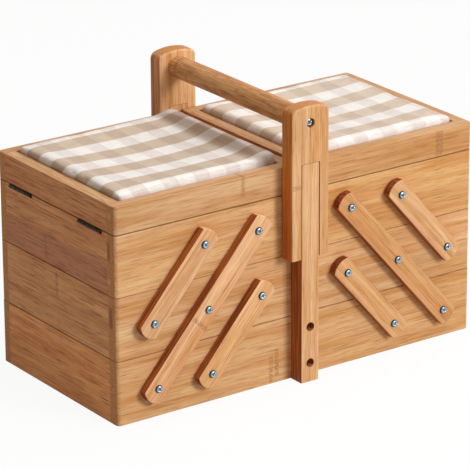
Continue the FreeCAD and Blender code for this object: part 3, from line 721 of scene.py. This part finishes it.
def cushion(side, lift, seed, finish):
    """Padded cushion in one lid."""
    points, flat, faces, box = cushion_grid(side, lift)
    node = side + "_lid_cushion"
    piece = new_piece(node + "_soft", points, faces)
    mesh = piece.data
    corners = np.empty(len(mesh.loops), int)
    mesh.loops.foreach_get("vertex_index", corners)
    cloth_map = mesh.uv_layers.new(name="cloth")
    cloth_map.data.foreach_set("uv", flat[corners].ravel())
    low, high = box
    middle = (low + high) / 2
    half = (high - low) / 2
    rim_share = np.maximum(np.abs(points[:, 0] - middle.x) / half.x,
                           np.abs(points[:, 1] - middle.y) / half.y)
    slack = np.clip((rim_share - 0.72) / 0.2, 0, 1)
    bottom = points[:, 2].min()
    swell(piece, np.flatnonzero(points[:, 2] < bottom + 0.1 * MM), slack,
          (Vector((low.x, low.y, bottom)), high), seed)
    finer = piece.modifiers.new("finer", "SUBSURF")
    finer.levels = 1
    finer.render_levels = 1
    piece.data.materials.append(finish)
    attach(piece, side + "_lid")
    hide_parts(node)


# Studio

def studio_floor():
    """Pale floor that shows almost white to the camera and still takes the box's shadow."""
    finish = Finish("studio_floor")
    paths = finish.node("LightPath")
    seen = finish.math("MAXIMUM", paths, paths.out("Is Glossy Ray"))
    seen = finish.math("MAXIMUM", seen, paths.out("Is Transmission Ray"))
    grey = finish.node("BsdfDiffuse", None, {"Color": (FLOOR_GREY, FLOOR_GREY, FLOOR_GREY, 1.0)})
    white = finish.node("BsdfDiffuse", None, {"Color": (FLOOR_WHITE, FLOOR_WHITE, FLOOR_WHITE, 1.0)})
    glow = finish.node("Emission", None, {"Color": (1.0, 1.0, 1.0, 1.0), "Strength": 1.0})
    shown = finish.node("MixShader", None, {0: FLOOR_GLOW, 1: white, 2: glow})
    finish.node_output(finish.node("MixShader", None, {0: seen, 1: grey, 2: shown}))
    half = FLOOR_SIZE / 2
    points = np.array([(-half, -half, 0.0), (half, -half, 0.0), (half, half, 0.0), (-half, half, 0.0)])
    floor = new_piece("studio_floor", points, np.array([[0, 1, 2, 3]]), smooth=False)
    floor.data.materials.append(finish.material)


def sky():
    """World that is white to the camera and to reflections and gives a soft fill light."""
    world = bpy.data.worlds.new("studio_sky")
    bpy.context.scene.world = world
    world.use_nodes = True
    nodes = world.node_tree.nodes
    links = world.node_tree.links
    nodes.clear()
    paths = nodes.new("ShaderNodeLightPath")
    seen = nodes.new("ShaderNodeMath")
    seen.operation = "MAXIMUM"
    fill = nodes.new("ShaderNodeBackground")
    fill.inputs["Strength"].default_value = SKY_STRENGTH
    white = nodes.new("ShaderNodeBackground")
    mixed = nodes.new("ShaderNodeMixShader")
    output = nodes.new("ShaderNodeOutputWorld")
    fill.inputs["Color"].default_value = SKY_COLOUR
    white.inputs["Color"].default_value = (1.0, 1.0, 1.0, 1.0)
    links.new(paths.outputs["Is Camera Ray"], seen.inputs[0])
    links.new(paths.outputs["Is Glossy Ray"], seen.inputs[1])
    links.new(seen.outputs[0], mixed.inputs[0])
    links.new(fill.outputs[0], mixed.inputs[1])
    links.new(white.outputs[0], mixed.inputs[2])
    links.new(mixed.outputs[0], output.inputs["Surface"])


def soft_light(name, place, width, share):
    """Square soft light aimed at the box, which gives a share of a white surface's full light."""
    lamp = bpy.data.lights.new(name, "AREA")
    lamp.shape = "SQUARE"
    lamp.size = width
    away = place - BOX_MIDDLE
    lamp.energy = share * math.pi ** 2 * away.length_squared
    light = bpy.data.objects.new(name, lamp)
    light.location = place
    light.rotation_mode = "QUATERNION"
    light.rotation_quaternion = away.to_track_quat("Z", "Y")
    bpy.context.scene.collection.objects.link(light)


def camera():
    """Camera at the photograph's place, with its axes from yaw, pitch and roll."""
    forward = Vector((math.sin(CAMERA_YAW) * math.cos(CAMERA_PITCH),
                      math.cos(CAMERA_YAW) * math.cos(CAMERA_PITCH), -math.sin(CAMERA_PITCH)))
    level = Vector((math.cos(CAMERA_YAW), -math.sin(CAMERA_YAW), 0.0))
    upright = level.cross(forward)
    right = level * math.cos(CAMERA_ROLL) + upright * math.sin(CAMERA_ROLL)
    up = upright * math.cos(CAMERA_ROLL) - level * math.sin(CAMERA_ROLL)
    lens = bpy.data.cameras.new("camera")
    lens.sensor_width = SENSOR_WIDTH
    lens.lens = FOCAL_PIXELS / FRAME_PIXELS * SENSOR_WIDTH
    lens.clip_end = 50.0
    view = bpy.data.objects.new("camera", lens)
    view.matrix_world = Matrix((
        (right.x, up.x, -forward.x, CAMERA_PLACE.x),
        (right.y, up.y, -forward.y, CAMERA_PLACE.y),
        (right.z, up.z, -forward.z, CAMERA_PLACE.z),
        (0.0, 0.0, 0.0, 1.0)))
    bpy.context.scene.collection.objects.link(view)
    bpy.context.scene.camera = view


# Making: the studio, the wood, then the metal and the cloth

def finished(nodes, finish):
    """Give CAD nodes one finish."""
    for name in nodes:
        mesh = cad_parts[name].data
        mesh.materials.clear()
        mesh.materials.append(finish)


camera()
studio_floor()
sky()
soft_light("key_light", BOX_MIDDLE + KEY_DIRECTION * KEY_DISTANCE, KEY_WIDTH, KEY_SHARE)
soft_light("top_light", Vector((0.3, -0.2, TOP_HEIGHT)), TOP_WIDTH, TOP_SHARE)
bpy.context.scene.view_settings.view_transform = "Standard"

LENGTHWISE = (1.0, 0.0, 0.0)
CROSSWISE = (0.0, 1.0, 0.0)
UPRIGHT = (0.0, 0.0, 1.0)
TIERS = (("base", 2), ("left_mid", 2), ("right_mid", 2), ("left_top", 2), ("right_top", 2),
         ("left_lid", 1), ("right_lid", 1))

KNOTS = {
    "base": ((-27.5 * MM, 12.0 * MM, 12.0 * MM), (-22.0 * MM, 17.0 * MM, 13.0 * MM)),
    "left_top": ((-60.8 * MM, 116.0 * MM, 12.4 * MM), (-22.2 * MM, 140.7 * MM, 12.4 * MM)),
    "left_lid": ((-53.0 * MM, 168.0 * MM, 9.0 * MM),),
    "right_lid": ((134.8 * MM, 164.5 * MM, 11.2 * MM), (138.4 * MM, 164.5 * MM, 11.2 * MM)),
}
TONES = {
    "base": ((0.91, 0.87, 0.80), (0.90, 0.86, 0.80)),
    "left_mid": ((1.01, 1.00, 0.99), (0.95, 0.91, 0.88)),
    "right_mid": ((0.94, 0.96, 0.99), (0.97, 0.95, 0.94)),
    "left_top": ((1.00, 0.98, 0.88), (0.95, 0.92, 0.87)),
    "right_top": ((0.92, 0.85, 0.70), (0.91, 0.83, 0.67)),
    "left_lid": ((0.86, 0.84, 0.84),),
    "right_lid": ((0.85, 0.77, 0.67),),
}
# Painted warm shade on the end boards' faces square to X, partly also their own redder tone
END_TONE_AND_SHADE = (1.05, 0.78, 0.56)
PALE_MARK = srgb(226, 184, 142)
DARK_MARK = srgb(120, 70, 46)
PALE_MARKS = {
    "left_lid": ((74.6 * MM, 167.0 * MM, 1.4 * MM, 2.2 * MM),),
    "left_top": ((73.2 * MM, 115.0 * MM, 1.4 * MM, 2.4 * MM),),
}
DARK_MARKS = {
    "left_top": ((73.0 * MM, 139.0 * MM, 1.8 * MM, 8.0 * MM),),
    "left_mid": ((74.8 * MM, 86.0 * MM, 2.4 * MM, 9.0 * MM),),
}
END_KNOTS = {
    "left_mid": ((0.0 * MM, 90.0 * MM, 11.0 * MM),),
    "left_top": ((15.0 * MM, 116.0 * MM, 10.0 * MM),),
}
END_TONES = {
    "base": ((1.15, 1.11, 0.97), (1.13, 1.07, 0.96)),
    "left_mid": ((1.00, 1.02, 1.03), (1.04, 1.10, 1.11)),
    "left_top": ((0.80, 0.72, 0.84), (1.00, 0.98, 0.96)),
    "left_lid": ((0.95, 0.88, 0.88),),
}

for number, (stem, strips) in enumerate(TIERS):
    low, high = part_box(stem + "_front_board")
    strip = (high.z - low.z) / strips
    long_wood = Bamboo(stem + "_bamboo", LENGTHWISE, UPRIGHT, strip, low.z, number * 3.7)
    end_wood = Bamboo(stem + "_end_bamboo", CROSSWISE, UPRIGHT, strip, low.z, number * 5.3 + 20, 1.3)
    long_wood.tones(TONES[stem])
    long_wood.knots(KNOTS.get(stem, ()))
    end_wood.tones(END_TONES.get(stem, ()))
    end_wood.knots(END_KNOTS.get(stem, ()))
    # Painted shade: faces square to X are darkened and reddened, partly the end boards' own redder tone.
    end_wood.stain(END_TONE_AND_SHADE, end_wood.faces(LENGTHWISE))
    for wood, seam_shade_strength in ((long_wood, 0.15), (end_wood, 0.75)):
        wood.glue_lines()
        wood.end_grain()
        wood.end_marks(PALE_MARKS.get(stem, ()), PALE_MARK)
        wood.end_marks(DARK_MARKS.get(stem, ()), DARK_MARK)
        # Painted shade in the seams between tiers and along the base's bottom edge, darkest where the lids
        # meet the top trays.
        wood.gap(wood.v - low.z, 0.85 if stem.endswith("lid") else seam_shade_strength)
        if not stem.endswith("lid"):
            wood.gap(wood.v - high.z, 0.85 if stem.endswith("top") else seam_shade_strength)
    finished((stem + "_front_board", stem + "_rear_board"), long_wood.done())
    ends = ("left", "right") if stem == "base" else ("outer", "inner")
    finished((stem + "_" + ends[0] + "_board", stem + "_" + ends[1] + "_board"), end_wood.done())

panel_wood = Bamboo("panel_bamboo", LENGTHWISE, CROSSWISE, 24 * MM, 0.0, 50.0)
panel_wood.glue_lines()
panel_wood.end_grain()
finished([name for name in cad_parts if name.endswith("panel")], panel_wood.done())

ARM_SLOPE = math.radians(48.9)
ARM_STRIP = 4.67 * MM
ARMS = (
    ("left_long_arms", 1.0, (1.06, 1.02, 1.08)), ("left_lower_arms", 1.0, (1.08, 1.06, 1.06)),
    ("left_upper_arms", 1.0, (1.00, 0.97, 1.02)), ("right_long_arms", -1.0, (0.92, 0.80, 0.68)),
    ("right_lower_arms", -1.0, (0.97, 0.90, 0.84)), ("right_upper_arms", -1.0, (0.99, 0.97, 0.99)),
)
for number, (node, sign, tone) in enumerate(ARMS):
    along_arm = (sign * math.cos(ARM_SLOPE), 0.0, math.sin(ARM_SLOPE))
    across_arm = (-sign * math.sin(ARM_SLOPE), 0.0, math.cos(ARM_SLOPE))
    wood = Bamboo(node + "_bamboo", along_arm, across_arm, ARM_STRIP, 0.0, 60 + number * 2.9)
    wood.stain(tone)
    if node == "left_long_arms":
        wood.knots(((-13.0 * MM, 120.5 * MM, 9.0 * MM),))
    wood.glue_lines()
    # Side faces: edge grain, partly painted shade on the sides turned from the light.
    wood.edges(srgb(184, 103, 52), srgb(136, 67, 31), wood.faces(wood.across))
    # Painted shade on the end that looks to the left, away from the light.
    wood.edges(srgb(156, 84, 42), srgb(110, 52, 24), wood.towards(-sign * wood.grain))
    finished((node,), wood.done())

POST_STRIP = 8.4 * MM
post_wood = Bamboo("post_bamboo", UPRIGHT, LENGTHWISE, POST_STRIP, -POST_STRIP, 80.0)
post_wood.stain((0.98, 0.97, 1.0))
post_wood.glue_lines()
# Side faces: edge grain, partly painted shade.
post_wood.edges(srgb(186, 104, 52), srgb(144, 74, 33), post_wood.faces(LENGTHWISE))
post_wood.end_grain()
finished(("front_post", "rear_post"), post_wood.done())

SLOT_HALF = 8.55 * MM
SLOT_TOP = 179.5 * MM
CHEEK_STRIP = 8.9 * MM
CHEEK_TONES = ((0.97, 0.96, 0.97), (0.97, 0.95, 0.92), (0.99, 0.96, 0.94), (0.98, 0.95, 0.92))
# Side-face colours of the cheeks: edge grain, with painted shade making the front cheek's deeper than the
# rear one's.
CHEEK_SIDES_AND_SHADE = {
    "front_cheek": (srgb(226, 142, 60), srgb(202, 118, 42)),
    "rear_cheek": (srgb(218, 150, 94), srgb(182, 112, 62)),
}
for node, (first, second) in CHEEK_SIDES_AND_SHADE.items():
    wood = Bamboo(node + "_bamboo", UPRIGHT, LENGTHWISE, CHEEK_STRIP, -2 * CHEEK_STRIP, 84.0)
    wood.tones(CHEEK_TONES)
    wood.knots(((162.0 * MM, -13.0 * MM, 4.5 * MM),))
    wood.glue_lines()
    wood.edges(first, second, wood.faces(LENGTHWISE))
    if node == "front_cheek":
        # Painted shade: the front cheek's sides darken towards the bottom.
        wood.stain((0.75, 0.63, 0.82), wood.faces(LENGTHWISE) * wood.ramp(wood.u, 190 * MM, 120 * MM))
        wood.stain((0.86, 0.80, 0.70), wood.ramp(wood.u, 178 * MM, 205 * MM)
                   * wood.ramp(wood.v, -5 * MM, -12 * MM))
    wood.end_grain()
    # Painted shade in the seam around the post's slot.
    sideways = wood.math("ABSOLUTE", wood.v) - SLOT_HALF
    wood.gap(wood.math("MAXIMUM", sideways, wood.u - SLOT_TOP))
    finished((node,), wood.done())

rod_wood = Bamboo("rod_bamboo", CROSSWISE, UPRIGHT, 100 * MM, 150 * MM, 88.0, 1.1)
rod_wood.knots(((74.0 * MM, 212.0 * MM, 12.0 * MM), (58.0 * MM, 208.0 * MM, 6.0 * MM)))
rod_wood.stain((0.94, 0.79, 0.63))
rod_wood.patches(0.55)
finished(("handle_rod",), rod_wood.done())

bronze_finish = bronze()
finished([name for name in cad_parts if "hinge" in name], bronze_finish)
zinc_finish = zinc()
screws("base_arm_screws", "base", 1.9 * MM, 1.7 * MM, zinc_finish)
screws("handle_screws", "base", 2.4 * MM, 2.0 * MM, zinc_finish)
for side in ("left", "right"):
    for tray in ("mid", "top"):
        screws(side + "_" + tray + "_arm_screws", side + "_" + tray + "_tray", 1.9 * MM, 1.7 * MM,
               zinc_finish)

# The third factor on each cloth is partly its dyed colour and partly painted light; the fourth and fifth
# are painted shade.
LEFT_CHECK = check_cloth("left_check", 15.0 * MM, -139.0 * MM, (0.93, 0.93, 0.95),
                         (0.60, 0.52, 0.44), (0.56, 0.48, 0.42))
RIGHT_CHECK = check_cloth("right_check", 15.0 * MM, 68.5 * MM, (1.02, 1.06, 1.12),
                          (0.72, 0.64, 0.57), (0.95, 0.94, 0.93))
cushion("left", 4.0 * MM, 4, LEFT_CHECK)
cushion("right", 0.4 * MM, 9, RIGHT_CHECK)
